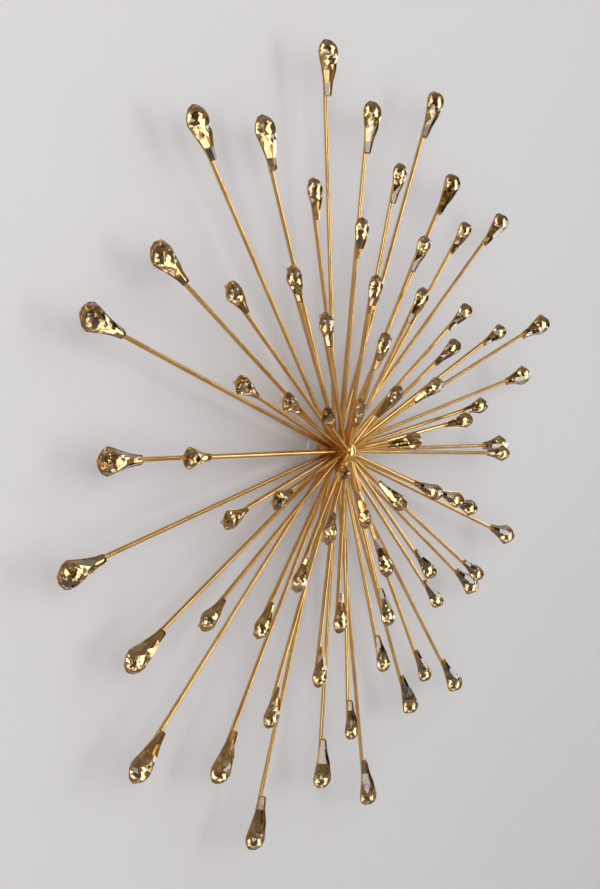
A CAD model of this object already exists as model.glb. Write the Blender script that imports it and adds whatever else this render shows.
"""Sunburst wall sculpture: faceted champagne glass drops on satin gilt rods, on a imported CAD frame.

The wall is the plane Y = 0, the room is on the -Y side and +Z is up.
"""
import math

import bmesh
import bpy
from bpy.props import (FloatProperty, FloatVectorProperty, IntProperty, IntVectorProperty,
                       PointerProperty)
from mathutils import Matrix, Vector


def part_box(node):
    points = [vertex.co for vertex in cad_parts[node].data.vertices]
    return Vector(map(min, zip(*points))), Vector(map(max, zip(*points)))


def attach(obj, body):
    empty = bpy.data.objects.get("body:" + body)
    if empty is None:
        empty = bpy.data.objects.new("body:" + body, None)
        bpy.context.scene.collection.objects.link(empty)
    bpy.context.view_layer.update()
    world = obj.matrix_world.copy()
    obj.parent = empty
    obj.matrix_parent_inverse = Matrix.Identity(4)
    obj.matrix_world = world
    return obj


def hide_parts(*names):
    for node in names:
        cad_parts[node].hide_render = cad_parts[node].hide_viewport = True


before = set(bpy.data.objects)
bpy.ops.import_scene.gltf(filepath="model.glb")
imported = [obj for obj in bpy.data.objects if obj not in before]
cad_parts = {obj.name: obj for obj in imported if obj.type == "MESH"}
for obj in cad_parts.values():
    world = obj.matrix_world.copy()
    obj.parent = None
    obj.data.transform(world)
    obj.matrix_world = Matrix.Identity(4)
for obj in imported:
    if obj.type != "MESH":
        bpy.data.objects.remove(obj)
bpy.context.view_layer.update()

bl_info = {
    "name": "Sunburst wall sculpture",
    "version": (1, 0, 0),
    "blender": (4, 5, 0),
    "location": "View3D > Sidebar > Sunburst",
    "description": "Cuts the glass drops of a sunburst wall sculpture and finishes its gilt frame",
    "category": "Add Mesh",
}

MM = 0.001
RINGS = 7


# ---------------------------------------------------------------- sizes and colours

class SunburstRings(bpy.types.PropertyGroup):
    """Where the rods stand. The values are the CAD part's own"""
    reach: IntVectorProperty(
        name="Reach", description="Hub's axis to a rod's tip in each ring, in millimetres",
        size=RINGS, default=(525, 460, 383, 313, 243, 173, 112))
    lean: IntVectorProperty(
        name="Lean", description="How far the rods of each ring lean out from the wall, in degrees",
        size=RINGS, default=(2, 1, 7, 9, 13, 19, 28))
    first: IntVectorProperty(
        name="First rod", description="Angle of each ring's first rod, in degrees",
        size=RINGS, default=(8, 25, 24, 8, 7, 34, 7))
    count: IntVectorProperty(
        name="Rods", description="Number of rods in each ring",
        size=RINGS, default=(12, 12, 12, 12, 12, 6, 6))
    leaves_at: IntVectorProperty(
        name="Leaves hub at",
        description="Height above the wall where rods leave the hub, in millimetres",
        size=RINGS, default=(30, 35, 45, 40, 50, 56, 56))
    hub_radius: FloatProperty(
        name="Hub radius", description="Radius of the hub", default=11 * MM, unit="LENGTH")
    rod_radius: FloatProperty(
        name="Rod radius", description="Radius of a rod", default=2.7 * MM, unit="LENGTH")
    flat_depth: FloatProperty(
        name="Filed flat", description="What is filed off a rod under its tray",
        default=0.4 * MM, unit="LENGTH")
    stray_extra: FloatProperty(
        name="Stray rod, longer by", description="How much longer the first rod of ring 2 is",
        default=65 * MM, unit="LENGTH")
    stray_lean: FloatProperty(
        name="Stray rod, leans by", description="How much further out it leans",
        default=math.radians(5), unit="ROTATION")
    stray_turn: FloatProperty(
        name="Stray rod, turned by", description="How far it is turned from its place",
        default=math.radians(-7), unit="ROTATION")


class SunburstDrop(bpy.types.PropertyGroup):
    """The glass drop, at the size used on rings 1 and 2"""
    length: FloatProperty(
        name="Length", description="From the neck's end to the tip", default=66 * MM, unit="LENGTH")
    small_share: FloatProperty(
        name="Small drops", description="Size of the drops on rings 3 to 7, as a share",
        default=0.77, subtype="FACTOR", min=0, max=1)
    neck: FloatProperty(
        name="Neck", description="Half the width of the neck's flat end",
        default=4.8 * MM, unit="LENGTH")
    bulb: FloatProperty(
        name="Bulb", description="Radius of the bulb", default=15.5 * MM, unit="LENGTH")
    thickness: FloatProperty(
        name="Thickness", description="Thickness at the middle of the bulb",
        default=15.2 * MM, unit="LENGTH")
    seat: FloatProperty(
        name="Seat", description="Height of the drop's back over the rod: tray's floor and glue",
        default=0.66 * MM, unit="LENGTH")
    sides: IntProperty(
        name="Sides", description="Facets round the neck, before the back is cut flat. The bulb "
        "has twice as many", default=8, min=6, max=12)
    behind: FloatProperty(
        name="Centre behind", description="How far a section's centre lies behind the flat back, "
        "as a share of the thickness there", default=0.4, min=0, max=1)
    edge: FloatProperty(
        name="Edge polish", description="Width of the polished edge between two facets",
        default=0.25 * MM, unit="LENGTH")
    glass: FloatVectorProperty(
        name="Glass", description="Tint of the clear glass", size=3, subtype="COLOR",
        default=(1.0, 0.98, 0.94))
    coat: FloatVectorProperty(
        name="Mirror coat", description="Colour of the coat on the drop's back",
        size=3, subtype="COLOR", default=(0.84, 0.62, 0.31))


class SunburstGilt(bpy.types.PropertyGroup):
    """The plated metal"""
    satin: FloatVectorProperty(
        name="Satin gold", description="Colour of the rods and the hub", size=3, subtype="COLOR",
        default=(0.93, 0.63, 0.26))
    worn: FloatVectorProperty(
        name="Thin plating", description="Colour where the plating is thin",
        size=3, subtype="COLOR", default=(0.64, 0.37, 0.11))
    polished: FloatVectorProperty(
        name="Polished gold", description="Colour of the trays", size=3, subtype="COLOR",
        default=(0.66, 0.44, 0.17))
    zinc: FloatVectorProperty(
        name="Zinc", description="Colour of the stud", size=3, subtype="COLOR",
        default=(0.62, 0.63, 0.64))
    enamel: FloatVectorProperty(
        name="Enamel", description="Colour of the back plate", size=3, subtype="COLOR",
        default=(0.68, 0.67, 0.68))


class SunburstStage(bpy.types.PropertyGroup):
    """Wall, floor, light and camera"""
    wall: FloatVectorProperty(
        name="Wall", description="Colour of the wall", size=3, subtype="COLOR",
        default=(0.665, 0.655, 0.665))
    floor: FloatVectorProperty(
        name="Floor", description="Colour of the floor", size=3, subtype="COLOR",
        default=(0.70, 0.68, 0.66))
    floor_at: FloatProperty(
        name="Floor height", description="Height of the floor under the hub's axis",
        default=-1.9, unit="LENGTH")
    half_size: FloatProperty(
        name="Half width", description="Half the width of the wall and the floor",
        default=5.0, unit="LENGTH")
    camera_place: FloatVectorProperty(
        name="Camera", description="Place of the camera", size=3, subtype="TRANSLATION",
        default=(-1.386, -0.982, 0.255))
    camera_turn: FloatVectorProperty(
        name="Camera's turn", description="Pitch, roll, and turn from the wall's normal",
        size=3, unit="ROTATION",
        default=(math.radians(-8.4), math.radians(1.2), math.radians(53.9)))
    lens: FloatProperty(
        name="Lens", description="Focal length on a 36 mm sensor, in millimetres", default=51.3)


# ---------------------------------------------------------------- shader building

class Wire:
    """One node's output. Sums and products on it add Math nodes."""

    def __init__(self, tree, socket):
        self.tree, self.socket = tree, socket

    def _math(self, operation, *values):
        return self.tree.add("Math", {"operation": operation}, dict(enumerate(values)))

    def __add__(self, other):
        return self._math("ADD", self, other)

    def __sub__(self, other):
        return self._math("SUBTRACT", self, other)

    def __rsub__(self, other):
        return self._math("SUBTRACT", other, self)

    def __mul__(self, other):
        return self._math("MULTIPLY", self, other)

    def __pow__(self, other):
        return self._math("POWER", self, other)

    def arctan2(self, other):
        return self._math("ARCTAN2", self, other)

    def arcsin(self):
        return self._math("ARCSINE", self)

    def between(self, low, high, soft):
        """1 between two values and 0 outside them, with soft edges."""
        rise = self.tree.add("MapRange", {"interpolation_type": "SMOOTHSTEP"},
                             {"Value": self, "From Min": low - soft, "From Max": low + soft})
        fall = self.tree.add("MapRange", {"interpolation_type": "SMOOTHSTEP"},
                             {"Value": self, "From Min": high - soft, "From Max": high + soft})
        return rise * (1 - fall)

    __radd__ = __add__


class Tree:
    """A node tree that is filled by name."""

    def __init__(self, owner):
        owner.use_nodes = True
        self.nodes, self.links = owner.node_tree.nodes, owner.node_tree.links
        self.nodes.clear()

    def add(self, kind, settings=None, values=None, out=0):
        """Adds a node, sets what it is, then fills or links its sockets, and returns one output."""
        node = self.nodes.new("ShaderNode" + kind)
        for name, value in (settings or {}).items():
            setattr(node, name, value)
        for name, value in (values or {}).items():
            if isinstance(value, Wire):
                self.links.new(value.socket, node.inputs[name])
            else:
                node.inputs[name].default_value = value
        return Wire(self, node.outputs[out]) if node.outputs else None

    def mix(self, factor, low, high):
        """A colour between two colours."""
        low, high = (c if isinstance(c, Wire) else (*c, 1) for c in (low, high))
        return self.add("Mix", {"data_type": "RGBA"}, {0: factor, 6: low, 7: high}, out=2)

    def noise(self, vector, scale, detail=2.0, roughness=0.5):
        return self.add("TexNoise", None, {"Vector": vector, "Scale": scale, "Detail": detail,
                                           "Roughness": roughness})


def finish_of(name, base, metallic, roughness, bump=None, depth=0.0, **fixed):
    """A Principled material. base, roughness and bump are functions of the tree and a place on the
    object. What is in fixed goes to the sockets of the same names."""
    material = bpy.data.materials.new(name)
    tree = Tree(material)
    place = tree.add("TexCoord", out="Object")
    values = {"Base Color": base(tree, place), "Roughness": roughness(tree, place),
              "Metallic": metallic}
    if bump:
        values["Normal"] = tree.add("Bump", None, {"Height": bump(tree, place), "Strength": 1.0,
                                                   "Distance": depth})
    values.update({socket.replace("_", " ").title().replace("Ior", "IOR"): value
                   for socket, value in fixed.items()})
    shader = tree.add("BsdfPrincipled", None, values)
    tree.add("OutputMaterial", None, {"Surface": shader})
    return material


def along_rods(tree, place):
    """A place that runs slowly along the rods, which are radial, and fast across them."""
    x, y, z = (tree.add("SeparateXYZ", None, {"Vector": place}, out=i) for i in range(3))
    out = (x * x + z * z) ** 0.5
    return tree.add("CombineXYZ", None, {"X": out * 14, "Y": z.arctan2(x) * 700, "Z": y * 900})


def satin_gilt(colours):
    def base(tree, place):
        cloud = tree.noise(place, 26.0, 3.0)
        streak = tree.noise(along_rods(tree, place), 1.0, 3.0)
        share = cloud.between(0.56, 2.0, 0.16) * 0.45 + streak.between(0.6, 2.0, 0.14) * 0.08
        return tree.mix(share, tuple(colours.satin), tuple(colours.worn))

    def roughness(tree, place):
        return 0.17 + tree.noise(along_rods(tree, place), 1.0, 2.0) * 0.10

    def bump(tree, place):
        return tree.noise(along_rods(tree, place), 1.4, 2.0) + tree.noise(place, 900.0) * 0.4
    return finish_of("satin_gilt", base, 1.0, roughness, bump, 0.0000015)


def polished_gilt(colours):
    def base(tree, place):
        return tree.mix(tree.noise(place, 60.0, 3.0).between(0.5, 2.0, 0.2) * 0.6,
                        tuple(colours.polished), tuple(colours.worn))

    def roughness(tree, place):
        return 0.10 + tree.noise(place, 180.0, 4.0) * 0.12
    return finish_of("polished_gilt", base, 1.0, roughness,
                     lambda tree, place: tree.noise(place, 500.0, 2.0), 0.00003)


def zinc_plate(colours):
    dull = tuple(c * 0.7 for c in colours.zinc)
    return finish_of(
        "zinc_plate",
        lambda tree, place: tree.mix(tree.noise(place, 300.0, 3.0), tuple(colours.zinc), dull),
        1.0, lambda tree, place: 0.3 + tree.noise(place, 240.0) * 0.15,
        lambda tree, place: tree.noise(place, 900.0), 0.00002)


def white_enamel(colours):
    dull = tuple(c * 0.93 for c in colours.enamel)
    return finish_of(
        "white_enamel",
        lambda tree, place: tree.mix(tree.noise(place, 40.0, 3.0), tuple(colours.enamel), dull),
        0.0, lambda tree, place: 0.38 + tree.noise(place, 260.0) * 0.12,
        lambda tree, place: tree.noise(place, 1200.0), 0.00003)


def clear_glass(drop):
    return finish_of(
        "champagne_glass", lambda tree, place: tree.mix(
            tree.noise(place, 14.0), tuple(drop.glass), tuple(c * 0.94 for c in drop.glass)),
        0.0, lambda tree, place: tree.noise(place, 90.0, 2.0).between(0.6, 2.0, 0.15) * 0.04,
        transmission_weight=1.0, ior=1.55, coat_weight=1.0, coat_ior=1.7, coat_roughness=0.02)


def mirror_coat(drop):
    thin = tuple(c * 0.72 for c in drop.coat)
    return finish_of(
        "mirror_coat",
        lambda tree, place: tree.mix(tree.noise(place, 120.0, 3.0).between(0.5, 2.0, 0.2),
                                     tuple(drop.coat), thin),
        1.0, lambda tree, place: 0.04 + tree.noise(place, 200.0) * 0.05)


def gilt_edge(colours):
    """The side of the glass, which the gilt tray's rim is glued to."""
    return finish_of(
        "gilt_edge",
        lambda tree, place: tree.mix(tree.noise(place, 150.0, 3.0).between(0.5, 2.0, 0.2),
                                     tuple(colours.polished), tuple(colours.worn)),
        1.0, lambda tree, place: 0.10 + tree.noise(place, 220.0) * 0.1)


# ---------------------------------------------------------------- the glass drop

NECK_STATIONS = (0, 0.24, 0.46)     # shares of the length, from the neck's end
BULB_STATIONS = (0.57, 0.67, 0.76, 0.84, 0.905, 0.955, 0.988, 1)
NECK_FLARE = 1.55           # above 1, the neck widens late
TIP_WIDTH = 0.22            # half the width of the last facet, as a share of the bulb's radius
NECK_THICKNESS = 0.33       # at the neck's end, as a share of the full thickness
TIP_THICKNESS = 0.16        # at the tip
BULB_OVERRUN = 1.03         # the thickness's fall ends a little beyond the tip
TABLE_DEPTH = 0.95          # where the front's flat facet lies, as a share of the thickness
TABLE_BACK = 1.5 * MM       # how far it is set back from the bulb's centre
TABLE_SLOPE = 0.05          # and how it slopes
FACES_BACK = 0.9            # a facet's normal along Y: above this it is the coated back,
FACES_SIDE = -0.12          # and above this a side that the tray's rim gilds
CAD_SLACK = 1 * MM          # what a drop may stand out of the CAD node's box


def half_width(drop, x):
    """Half the drop's width at a distance x from the neck's end: a flaring neck, a round bulb."""
    centre = drop.length - drop.bulb
    if x <= centre:
        return drop.neck + (drop.bulb - drop.neck) * (x / centre) ** NECK_FLARE
    return max(math.sqrt(max(drop.bulb ** 2 - (x - centre) ** 2, 0)), TIP_WIDTH * drop.bulb)


def thickness(drop, x):
    """Thickness at x: it rises from the neck to the bulb and falls away over its end."""
    centre = drop.length - drop.bulb
    neck, tip = NECK_THICKNESS * drop.thickness, TIP_THICKNESS * drop.thickness
    if x <= centre:
        return neck + (drop.thickness - neck) * (1 - math.cos(math.pi * x / centre)) / 2
    fall = 1 - ((x - centre) / (drop.bulb * BULB_OVERRUN)) ** 2
    return tip + (drop.thickness - tip) * math.sqrt(max(fall, 0))


def grind(bm, point, normal):
    """Cuts away what is in front of a plane and closes the cut with one flat facet."""
    cut = bmesh.ops.bisect_plane(bm, geom=bm.verts[:] + bm.edges[:] + bm.faces[:], dist=1e-7,
                                 plane_co=point, plane_no=normal, clear_outer=True)
    rim = [e for e in cut["geom_cut"] if isinstance(e, bmesh.types.BMEdge)]
    return bmesh.ops.contextual_create(bm, geom=rim)["faces"]


def section(bm, drop, x, sides, turned):
    """A closed loop round the drop at x: a polygon on an ellipse whose centre lies behind the back,
    as wide as the drop where it crosses the back. turned puts a corner on top, and not a side."""
    step = math.pi / sides
    behind = drop.behind * thickness(drop, x)
    high = (thickness(drop, x) + behind) / (1 if turned else math.cos(step))
    corner, level = (0 if turned else step), behind / high
    while math.sin(corner) < level:
        corner += 2 * step
    below = corner - 2 * step
    share = (level - math.sin(below)) / (math.sin(corner) - math.sin(below))
    wide = half_width(drop, x) / (math.cos(below) + share * (math.cos(corner) - math.cos(below)))
    place = (Matrix.Translation((x, behind, 0)) @ Matrix.Diagonal((1, high, wide, 1))
             @ Matrix.Rotation(0 if turned else step, 4, "X")
             @ Matrix.Rotation(math.pi / 2, 4, "Y"))
    ring = bmesh.ops.create_circle(bm, segments=sides, radius=1, matrix=place)["verts"]
    return list({e for v in ring for e in v.link_edges})


def cut_drop(drop):
    """One large drop: neck's end at x = 0, tip along +X, flat back on Y = 0, front towards -Y."""
    bm = bmesh.new()
    loops = [section(bm, drop, share * drop.length, drop.sides, False) for share in NECK_STATIONS]
    bmesh.ops.contextual_create(bm, geom=loops[0])
    for near, far in zip(loops, loops[1:]):
        bmesh.ops.bridge_loops(bm, edges=near + far)
    bmesh.ops.subdivide_edges(bm, edges=loops[-1], cuts=1)
    last = [e for e in bm.edges if e.is_boundary]
    for number, share in enumerate(BULB_STATIONS):
        ring = section(bm, drop, share * drop.length, 2 * drop.sides, number % 2)
        sides = bmesh.ops.bridge_loops(bm, edges=last + ring)["faces"]
        bmesh.ops.triangulate(bm, faces=sides, quad_method="SHORT_EDGE")
        last = ring
    bmesh.ops.contextual_create(bm, geom=last)
    bmesh.ops.recalc_face_normals(bm, faces=bm.faces[:])
    centre = drop.length - drop.bulb
    grind(bm, Vector((centre - TABLE_BACK, -TABLE_DEPTH * drop.thickness, 0)),
          Vector((TABLE_SLOPE, -1, 0)))
    grind(bm, Vector((0, 0, 0)), Vector((0, 1, 0)))
    bmesh.ops.dissolve_limit(bm, angle_limit=math.radians(1), verts=bm.verts[:],
                             edges=bm.edges[:])
    bmesh.ops.recalc_face_normals(bm, faces=bm.faces[:])
    front = [e for e in bm.edges if all(f.normal.y < FACES_BACK for f in e.link_faces)]
    bmesh.ops.bevel(bm, geom=front, offset=drop.edge, offset_type="WIDTH", segments=1,
                    profile=0.5, affect="EDGES", material=-1, clamp_overlap=True)
    for face in bm.faces:
        face.material_index = (1 if face.normal.y > FACES_BACK
                               else 2 if face.normal.y > FACES_SIDE else 0)
        face.smooth = False
    return bm


def rod_end(rings, drop, ring, k):
    """Where the large drop's own frame goes on rod k of a ring, shrunk for a small drop."""
    stray = ring == 1 and k == 0
    lean = math.radians(rings.lean[ring]) + (rings.stray_lean if stray else 0)
    reach = rings.reach[ring] * MM + (rings.stray_extra if stray else 0)
    turn = math.radians(rings.first[ring] + k * 360 / rings.count[ring])
    turn += rings.stray_turn if stray else 0
    size = 1 if ring < 2 else drop.small_share
    on_axis = rings.leaves_at[ring] * MM - rings.hub_radius * math.tan(lean)
    return (Matrix.Translation((0, -on_axis, 0)) @ Matrix.Rotation(-turn, 4, "Y")
            @ Matrix.Rotation(-lean, 4, "Z")
            @ Matrix.Translation((reach - size * drop.length,
                                  rings.flat_depth - rings.rod_radius, 0))
            @ Matrix.Scale(size, 4) @ Matrix.Translation((0, -drop.seat, 0)))


def add_piece(name, bm, materials, node):
    """Makes a finished mesh a piece that rides on the body and stands for a CAD node."""
    mesh = bpy.data.meshes.new(name)
    bm.to_mesh(mesh)
    bm.free()
    for material in materials:
        mesh.materials.append(material)
    piece = bpy.data.objects.new(name, mesh)
    bpy.context.scene.collection.objects.link(piece)
    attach(piece, "root")
    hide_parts(node)


def dress(node, material):
    """Gives a CAD node its finish."""
    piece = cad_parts[node]
    if not piece.material_slots:
        piece.data.materials.append(material)
    for place in piece.material_slots:
        place.material = material


# ---------------------------------------------------------------- operators

WALL_GAP = 0.5 * MM                 # keeps the wall clear of the back plate's rear face
SHADE = (0.15, 0.095, 0.04)         # of the wall close behind the rods and the drops
SHADED = (("Is Transmission Ray", 0.75), ("Is Glossy Ray", 0.4))    # where it shows, and how much

# Windows of the mirrored room: left and right, turned from the wall's normal, then bottom and top,
# above the horizon, all in degrees, and how strongly each shines
WINDOWS = ((25, 39.5, -18, 16, 2.7), (44, 49, 15, 30, 1.3), (54, 57, 14, 30, 1.3),
           (66, 71, -30, 16, 2.4), (38, 46, -52, -42, 1.6), (-2, 9, 8, 20, 2.2),
           (84, 90, -4, 14, 1.8), (-64, -48, -24, 16, 2.6))
QUIET = (41, 60, -18, 12)           # a part of the room without clutter, given in the same way
PANE_SOFT = 1                       # softness of a window's edge, in degrees


class SUNBURST_OT_stage(bpy.types.Operator):
    """Sets up the wall, the floor, the light and the camera"""
    bl_idname = "sunburst.stage"
    bl_label = "Stage"

    def execute(self, context):
        stage = context.scene.sunburst_stage
        behind = Matrix.Translation((0, WALL_GAP, 0))
        self.surface("wall", stage.wall, behind @ Matrix.Rotation(math.pi / 2, 4, "X"), stage)
        self.surface("floor", stage.floor, Matrix.Translation((0, 0, stage.floor_at)), stage)
        self.room(context.scene)
        self.soft_light("key_light", turn=-38, rise=16, away=2.8, size=1.5, watts=15)
        self.soft_light("fill_light", turn=20, rise=30, away=3.2, size=2.6, watts=5)
        self.camera(context.scene, stage)
        context.scene.view_settings.view_transform = "Standard"
        return {"FINISHED"}

    def surface(self, name, colour, place, stage):
        """A flat painted surface, seen from its front only, so that it never hides the back."""
        bm = bmesh.new()
        bmesh.ops.create_grid(bm, x_segments=1, y_segments=1, size=stage.half_size, matrix=place)
        mesh = bpy.data.meshes.new(name)
        bm.to_mesh(mesh)
        bm.free()
        material = bpy.data.materials.new(name + "_paint")
        tree = Tree(material)
        where = tree.add("TexCoord", out="Object")
        tone = tree.mix(tree.noise(where, 1.2, 2.0), tuple(colour), tuple(c * 0.96 for c in colour))
        for ray, share in SHADED:
            tone = tree.mix(tree.add("LightPath", out=ray) * share, tone, SHADE)
        paint = tree.add("BsdfPrincipled", None, {"Base Color": tone, "Roughness": 0.75})
        open_back = tree.add("MixShader", None, {
            0: tree.add("NewGeometry", out="Backfacing"), 1: paint, 2: tree.add("BsdfTransparent")})
        tree.add("OutputMaterial", None, {"Surface": open_back})
        mesh.materials.append(material)
        made = bpy.data.objects.new(name, mesh)
        bpy.context.scene.collection.objects.link(made)

    def room(self, scene):
        """What the gilt and the glass mirror: a dim, cluttered room with windows. The paint gets an
        even glow instead, and the camera a plain tone."""
        world = bpy.data.worlds.new("room")
        scene.world = world
        tree = Tree(world)
        way = tree.add("TexCoord", out="Generated")
        x, y, z = (tree.add("SeparateXYZ", None, {"Vector": way}, out=i) for i in range(3))
        turn, rise = x.arctan2(y * -1), z.arcsin()

        def pane(*ends):
            left, right, bottom, top, soft = (math.radians(a) for a in (*ends, PANE_SOFT))
            return turn.between(left, right, soft) * rise.between(bottom, top, soft)

        windows = sum(pane(*ends) * shine for *ends, shine in WINDOWS)
        cells = tree.add("TexVoronoi", None, {"Vector": way, "Scale": 8.0}, out=1)
        lot, other = (tree.add("SeparateColor", None, {"Color": cells}, out=i) for i in (0, 1))
        cluttered = 1 - pane(*QUIET)
        bright = lot.between(0.90, 2, 0.01) * cluttered
        amber = lot.between(0.66, 0.90, 0.01) * cluttered
        ceiling = rise.between(math.radians(40), 3, 0.1)
        ground = rise.between(-3, math.radians(-20), 0.08)
        colour = tree.mix(other, (0.016, 0.011, 0.007), (0.07, 0.046, 0.026))
        colour = tree.mix(amber, colour, (0.46, 0.32, 0.13))
        colour = tree.mix(ceiling * 0.3, colour, (0.55, 0.38, 0.18))
        colour = tree.mix(ground * 0.3, colour, (0.24, 0.16, 0.11))
        lit = (windows + bright * 1.6).between(0.5, 100, 0.3)
        colour = tree.mix(lit, colour, (1.0, 0.97, 0.93))
        mirrored = tree.add("Background", None, {"Color": colour,
                                                 "Strength": windows + bright * 0.9 + 1})
        even = tree.add("Background", None, {"Color": (0.97, 0.98, 1.02, 1), "Strength": 0.68})
        plain = tree.add("Background", None, {"Color": (0.80, 0.79, 0.78, 1), "Strength": 1.0})
        light = tree.add("MixShader", None, {
            0: tree.add("LightPath", out="Is Diffuse Ray"), 1: mirrored, 2: even})
        light = tree.add("MixShader", None, {
            0: tree.add("LightPath", out="Is Camera Ray"), 1: light, 2: plain})
        tree.add("OutputWorld", None, {"Surface": light})

    def soft_light(self, name, turn, rise, away, size, watts):
        """A soft round light on the wall and the paint, which nothing mirrors. turn and rise are in
        degrees."""
        turn, rise = math.radians(turn), math.radians(rise)
        data = bpy.data.lights.new(name, "AREA")
        data.shape, data.size, data.energy, data.color = "DISK", size, watts, (1.0, 0.985, 0.97)
        box = bpy.data.objects.new(name, data)
        place = Vector((math.sin(turn) * math.cos(rise), -math.cos(turn) * math.cos(rise),
                        math.sin(rise))) * away
        facing = place.to_track_quat("Z", "Y").to_matrix().to_4x4()
        box.matrix_world = Matrix.Translation(place) @ facing
        box.visible_camera = box.visible_glossy = box.visible_transmission = False
        bpy.context.scene.collection.objects.link(box)

    def camera(self, scene, stage):
        data = bpy.data.cameras.new("camera")
        data.lens, data.sensor_width, data.clip_start = stage.lens, 36, 0.01
        eye = bpy.data.objects.new("camera", data)
        pitch, roll, turn = stage.camera_turn
        look = Vector((math.sin(turn) * math.cos(pitch), math.cos(turn) * math.cos(pitch),
                       math.sin(pitch)))
        right = Vector((math.cos(turn), -math.sin(turn), 0))
        up = right.cross(look)
        side = right * math.cos(roll) + up * math.sin(roll)
        axes = Matrix((side, side.cross(look), -look)).transposed()
        eye.matrix_world = Matrix.Translation(stage.camera_place) @ axes.to_4x4()
        scene.collection.objects.link(eye)
        scene.camera = eye


class SUNBURST_OT_drops(bpy.types.Operator):
    """Cuts the glass drops and sets one in each tray"""
    bl_idname = "sunburst.drops"
    bl_label = "Glass drops"

    def execute(self, context):
        rings, drop = context.scene.sunburst_rings, context.scene.sunburst_drop
        master = cut_drop(drop)
        finishes = [clear_glass(drop), mirror_coat(drop), gilt_edge(context.scene.sunburst_gilt)]
        for ring in range(RINGS):
            places = [rod_end(rings, drop, ring, k) for k in range(rings.count[ring])]
            if ring == 0:
                for k, place in enumerate(places):
                    self.set_in(master, [place], f"ring1_drop_{k + 1:02d}", finishes)
            else:
                self.set_in(master, places, f"ring{ring + 1}_drops", finishes)
        master.free()
        return {"FINISHED"}

    def set_in(self, master, places, node, finishes):
        """Copies the drop to each place as one piece, checked against the CAD node it replaces."""
        bm = bmesh.new()
        copy = bpy.data.meshes.new("copy")
        for place in places:
            master.to_mesh(copy)
            copy.transform(place)
            bm.from_mesh(copy)
        bpy.data.meshes.remove(copy)
        low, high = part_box(node)
        for axis in range(3):
            ends = [v.co[axis] for v in bm.verts]
            if min(ends) < low[axis] - CAD_SLACK or max(ends) > high[axis] + CAD_SLACK:
                raise RuntimeError(f"the drops of {node} don't lie where the CAD has them")
        name = node.replace("drops", "glass").replace("drop", "glass")
        add_piece(name, bm, finishes, node)


class SUNBURST_OT_gilt(bpy.types.Operator):
    """Gives the rods and the hub their satin plating, and the trays a polished one"""
    bl_idname = "sunburst.gilt"
    bl_label = "Gilt frame"

    def execute(self, context):
        colours = context.scene.sunburst_gilt
        satin, polished = satin_gilt(colours), polished_gilt(colours)
        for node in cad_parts:
            if "_rod" in node or node in ("hub", "standoff"):
                dress(node, satin)
            elif "_tray" in node:
                dress(node, polished)
        return {"FINISHED"}


class SUNBURST_OT_fixing(bpy.types.Operator):
    """Finishes the back plate and the stud that it carries"""
    bl_idname = "sunburst.fixing"
    bl_label = "Wall fixing"

    def execute(self, context):
        colours = context.scene.sunburst_gilt
        dress("back_plate", white_enamel(colours))
        dress("stud", zinc_plate(colours))
        return {"FINISHED"}


class SUNBURST_PT_panel(bpy.types.Panel):
    """Lists the sizes, the colours and the steps"""
    bl_idname = "SUNBURST_PT_panel"
    bl_label = "Sunburst wall sculpture"
    bl_space_type = "VIEW_3D"
    bl_region_type = "UI"
    bl_category = "Sunburst"

    def draw(self, context):
        layout = self.layout
        for title, (name, kind) in zip(("Rods", "Drops", "Plating", "Stage"), SETTINGS.items()):
            box = layout.box()
            box.label(text=title)
            for prop in kind.__annotations__:
                box.prop(getattr(context.scene, name), prop)
        for step in STEPS:
            layout.operator(step.bl_idname)


SETTINGS = {"sunburst_rings": SunburstRings, "sunburst_drop": SunburstDrop,
            "sunburst_gilt": SunburstGilt, "sunburst_stage": SunburstStage}
STEPS = (SUNBURST_OT_stage, SUNBURST_OT_drops, SUNBURST_OT_gilt, SUNBURST_OT_fixing)


def register():
    for kind in (*SETTINGS.values(), *STEPS, SUNBURST_PT_panel):
        bpy.utils.register_class(kind)
    for name, kind in SETTINGS.items():
        setattr(bpy.types.Scene, name, PointerProperty(type=kind))


def unregister():
    for name in SETTINGS:
        delattr(bpy.types.Scene, name)
    for kind in reversed((*SETTINGS.values(), *STEPS, SUNBURST_PT_panel)):
        bpy.utils.unregister_class(kind)


def main():
    register()
    bpy.ops.sunburst.stage()
    bpy.ops.sunburst.drops()
    bpy.ops.sunburst.gilt()
    bpy.ops.sunburst.fixing()


if __name__ == "__main__":
    main()
